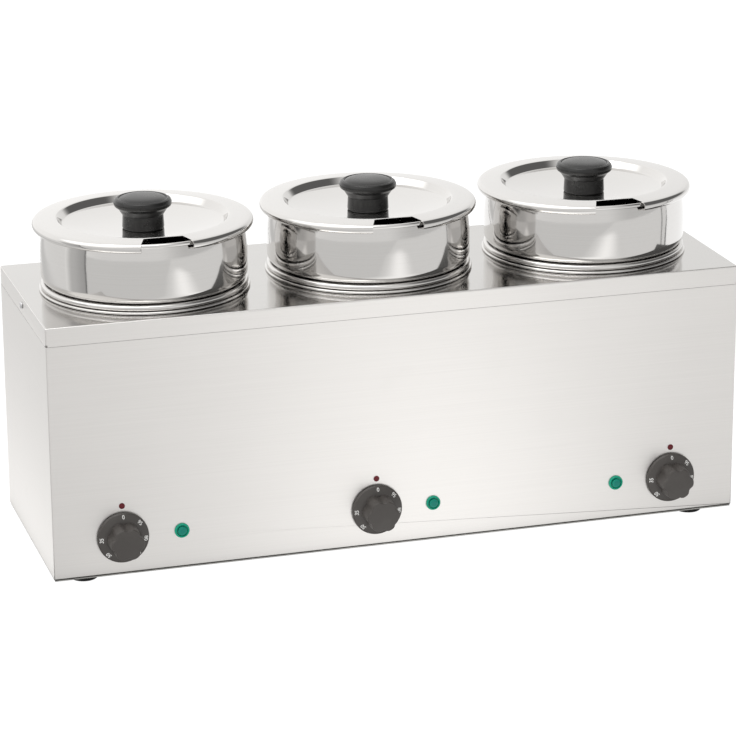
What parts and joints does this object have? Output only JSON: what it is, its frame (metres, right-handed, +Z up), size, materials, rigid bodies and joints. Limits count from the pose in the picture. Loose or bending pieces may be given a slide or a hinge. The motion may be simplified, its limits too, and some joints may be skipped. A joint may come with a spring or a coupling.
{
  "type": "soup kettle",
  "caption": "Rectangular electric buffet soup kettle with lift-out pots in hot-water wells, notched lids, and thermostat knobs and pilot lamps on the front.",
  "frame": {"origin": "middle of the whole object's box in plan, on the surface that its feet stand on", "axes": "+X to the right as seen from the front, along the row of pots; +Y from the front to the rear; +Z up"},
  "size_m": [0.7242, 0.283, 0.3646],
  "materials": {
    "brushed_steel": "fine horizontal brushed grain, satin",
    "polished_steel": "mirror-polished stainless steel with faint spun marks",
    "plain_steel": "plain mill-finish stainless and zinc-plated steel",
    "black_plastic": "smooth black heat-proof plastic, soft sheen",
    "charcoal_plastic": "fine-grained charcoal plastic with white dial numbers",
    "green_lens": "translucent green lamp lens",
    "red_dot": "dark red index mark",
    "black_rubber": "matt black rubber",
    "white_ceramic": "glazed white ceramic",
    "copper": "drawn copper capillary"
  },
  "bodies": {
    "housing": {"top_deck": "brushed_steel", "housing_shell": "brushed_steel", "rear_panel": "brushed_steel", "base_plate": "plain_steel", "foot_front_left": "black_rubber", "foot_front_right": "black_rubber", "foot_rear_left": "black_rubber", "foot_rear_right": "black_rubber", "deck_screw_left": "plain_steel", "deck_screw_right": "plain_steel", "cable_gland": "black_plastic", "gland_locknut": "black_plastic", "terminal_block": "white_ceramic", "well_1": "plain_steel", "well_ring_1": "polished_steel", "element_clamp_1": "plain_steel", "heating_element_1": "plain_steel", "thermostat_bulb_1": "copper", "thermostat_1": "plain_steel", "pilot_lamp_lens_1": "green_lens", "pilot_lamp_body_1": "black_plastic", "index_dot_1": "red_dot", "well_2": "plain_steel", "well_ring_2": "polished_steel", "element_clamp_2": "plain_steel", "heating_element_2": "plain_steel", "thermostat_bulb_2": "copper", "thermostat_2": "plain_steel", "pilot_lamp_lens_2": "green_lens", "pilot_lamp_body_2": "black_plastic", "index_dot_2": "red_dot", "well_3": "plain_steel", "well_ring_3": "polished_steel", "element_clamp_3": "plain_steel", "heating_element_3": "plain_steel", "thermostat_bulb_3": "copper", "thermostat_3": "plain_steel", "pilot_lamp_lens_3": "green_lens", "pilot_lamp_body_3": "black_plastic", "index_dot_3": "red_dot"},
    "pot_1": {"pot_1": "polished_steel"},
    "lid_1": {"lid_1": "polished_steel", "lid_knob_1": "black_plastic", "lid_knob_screw_1": "plain_steel"},
    "control_knob_1": {"control_knob_1": "charcoal_plastic", "thermostat_spindle_1": "plain_steel"},
    "pot_2": {"pot_2": "polished_steel"},
    "lid_2": {"lid_2": "polished_steel", "lid_knob_2": "black_plastic", "lid_knob_screw_2": "plain_steel"},
    "control_knob_2": {"control_knob_2": "charcoal_plastic", "thermostat_spindle_2": "plain_steel"},
    "pot_3": {"pot_3": "polished_steel"},
    "lid_3": {"lid_3": "polished_steel", "lid_knob_3": "black_plastic", "lid_knob_screw_3": "plain_steel"},
    "control_knob_3": {"control_knob_3": "charcoal_plastic", "thermostat_spindle_3": "plain_steel"}
  },
  "joints": [
    {"name": "pot_1_lift", "type": "slide", "parent": "housing", "child": "pot_1", "axis": [0, 0, 1], "range_m": [0, 0.16]},
    {"name": "lid_1_lift", "type": "slide", "parent": "pot_1", "child": "lid_1", "axis": [0, 0, 1], "range_m": [0, 0.08]},
    {"name": "control_knob_1_turn", "type": "hinge", "parent": "housing", "child": "control_knob_1", "pos_m": [-0.29, -0.1165, 0.05], "axis": [0, 1, 0], "range_deg": [0, 312]},
    {"name": "pot_2_lift", "type": "slide", "parent": "housing", "child": "pot_2", "axis": [0, 0, 1], "range_m": [0, 0.16]},
    {"name": "lid_2_lift", "type": "slide", "parent": "pot_2", "child": "lid_2", "axis": [0, 0, 1], "range_m": [0, 0.08]},
    {"name": "control_knob_2_turn", "type": "hinge", "parent": "housing", "child": "control_knob_2", "pos_m": [-0.028, -0.1165, 0.05], "axis": [0, 1, 0], "range_deg": [0, 312]},
    {"name": "pot_3_lift", "type": "slide", "parent": "housing", "child": "pot_3", "axis": [0, 0, 1], "range_m": [0, 0.16]},
    {"name": "lid_3_lift", "type": "slide", "parent": "pot_3", "child": "lid_3", "axis": [0, 0, 1], "range_m": [0, 0.08]},
    {"name": "control_knob_3_turn", "type": "hinge", "parent": "housing", "child": "control_knob_3", "pos_m": [0.29, -0.1165, 0.05], "axis": [0, 1, 0], "range_deg": [0, 312]}
  ]
}
